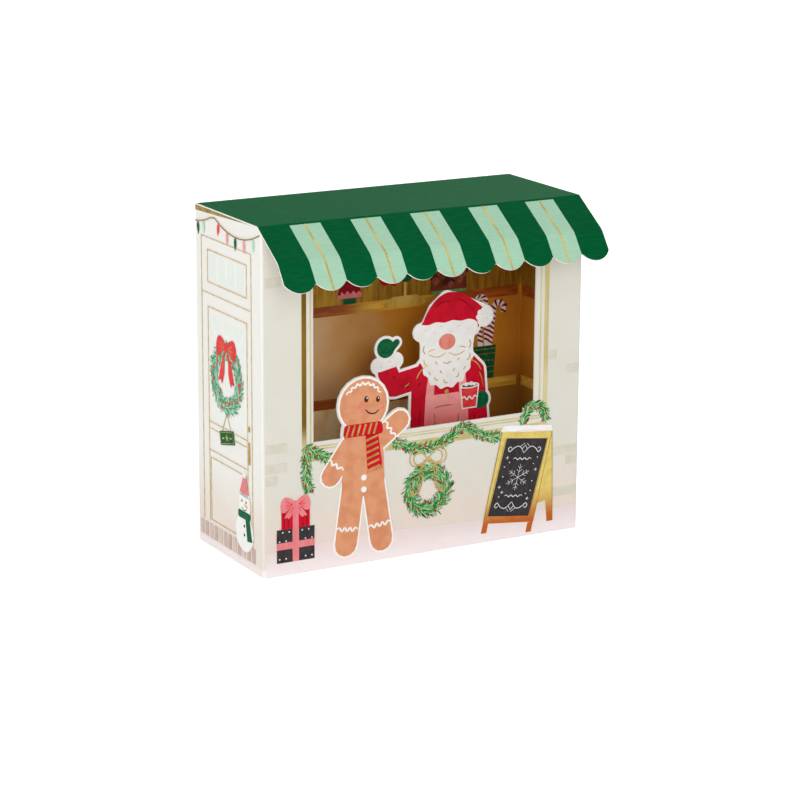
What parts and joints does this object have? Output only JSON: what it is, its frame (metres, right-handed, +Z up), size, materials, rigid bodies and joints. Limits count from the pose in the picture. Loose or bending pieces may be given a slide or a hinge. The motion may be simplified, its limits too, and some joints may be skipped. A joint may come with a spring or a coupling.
{
  "type": "pop-up greeting card",
  "caption": "Folded pop-up greeting card that stands as a small shop with a window, a striped scalloped awning, printed shelves and a cut-out shopkeeper.",
  "frame": {"origin": "under the middle of the bounding box, on the surface the card stands on", "axes": "+Z up, +Y from the window wall to the back wall, +X along the window wall to the right"},
  "size_m": [0.1125, 0.0628, 0.108],
  "materials": {
    "ivory_card": "matte",
    "green_card": "matte",
    "brown_card": "satin",
    "mint_ink": "matte",
    "gold_foil": "satin",
    "snow_ink": "matte",
    "brick_ink": "matte",
    "kerb_ink": "matte",
    "fir_ink": "matte",
    "biscuit_ink": "matte",
    "red_ink": "matte",
    "board_ink": "matte",
    "sign_ink": "satin",
    "white_ink": "matte",
    "pink_ink": "matte",
    "glass_ink": "matte",
    "green_ink": "matte",
    "cord_ink": "matte",
    "skin_ink": "matte",
    "shelf_ink": "satin",
    "cane_ink": "matte"
  },
  "bodies": {
    "root": {"card_shell": "ivory_card", "figure_band": "ivory_card", "roof_awning": "green_card", "shelf_lining": "brown_card", "awning_mint_stripes": "mint_ink", "light_bulbs_mint": "mint_ink", "awning_foil_lines": "gold_foil", "window_frame_foil": "gold_foil", "front_wreath_bow": "gold_foil", "door_foil_lines": "gold_foil", "door_handle_foil": "gold_foil", "shelf_lamp": "gold_foil", "front_snow_bank": "snow_ink", "left_snow_bank": "snow_ink", "right_snow_bank": "snow_ink", "back_snow_bank": "snow_ink", "front_bricks": "brick_ink", "right_bricks": "brick_ink", "back_bricks": "brick_ink", "kerb_bricks": "kerb_ink", "window_garland": "fir_ink", "front_wreath": "fir_ink", "door_wreath": "fir_ink", "gingerbread_customer": "biscuit_ink", "customer_scarf": "red_ink", "parcel_red": "red_ink", "door_wreath_bow": "red_ink", "light_bulbs_red": "red_ink", "keeper_coat": "red_ink", "keeper_hat": "red_ink", "sign_board": "board_ink", "parcel_dark": "board_ink", "sign_frame": "sign_ink", "sign_rear_leg": "sign_ink", "sign_chalk_marks": "white_ink", "sign_snow_cap": "white_ink", "snowman": "white_ink", "snowman_hat_trim": "white_ink", "keeper_beard": "white_ink", "keeper_trim": "white_ink", "keeper_cuffs": "white_ink", "parcel_ribbon": "pink_ink", "light_bulbs_pink": "pink_ink", "snowman_hat": "pink_ink", "keeper_apron": "pink_ink", "keeper_cup": "pink_ink", "door_glass_panes": "glass_ink", "door_plaque": "green_ink", "light_bulbs_green": "green_ink", "snowman_scarf": "green_ink", "keeper_mittens": "green_ink", "shelf_pot_and_stand": "green_ink", "door_plaque_cord": "cord_ink", "light_string_wire": "cord_ink", "keeper_nose": "skin_ink", "shelf_boards": "shelf_ink", "shelf_box": "shelf_ink", "shelf_candy_canes": "cane_ink", "shelf_cake": "cane_ink", "shelf_box_lid": "cane_ink"}
  },
  "joints": []
}
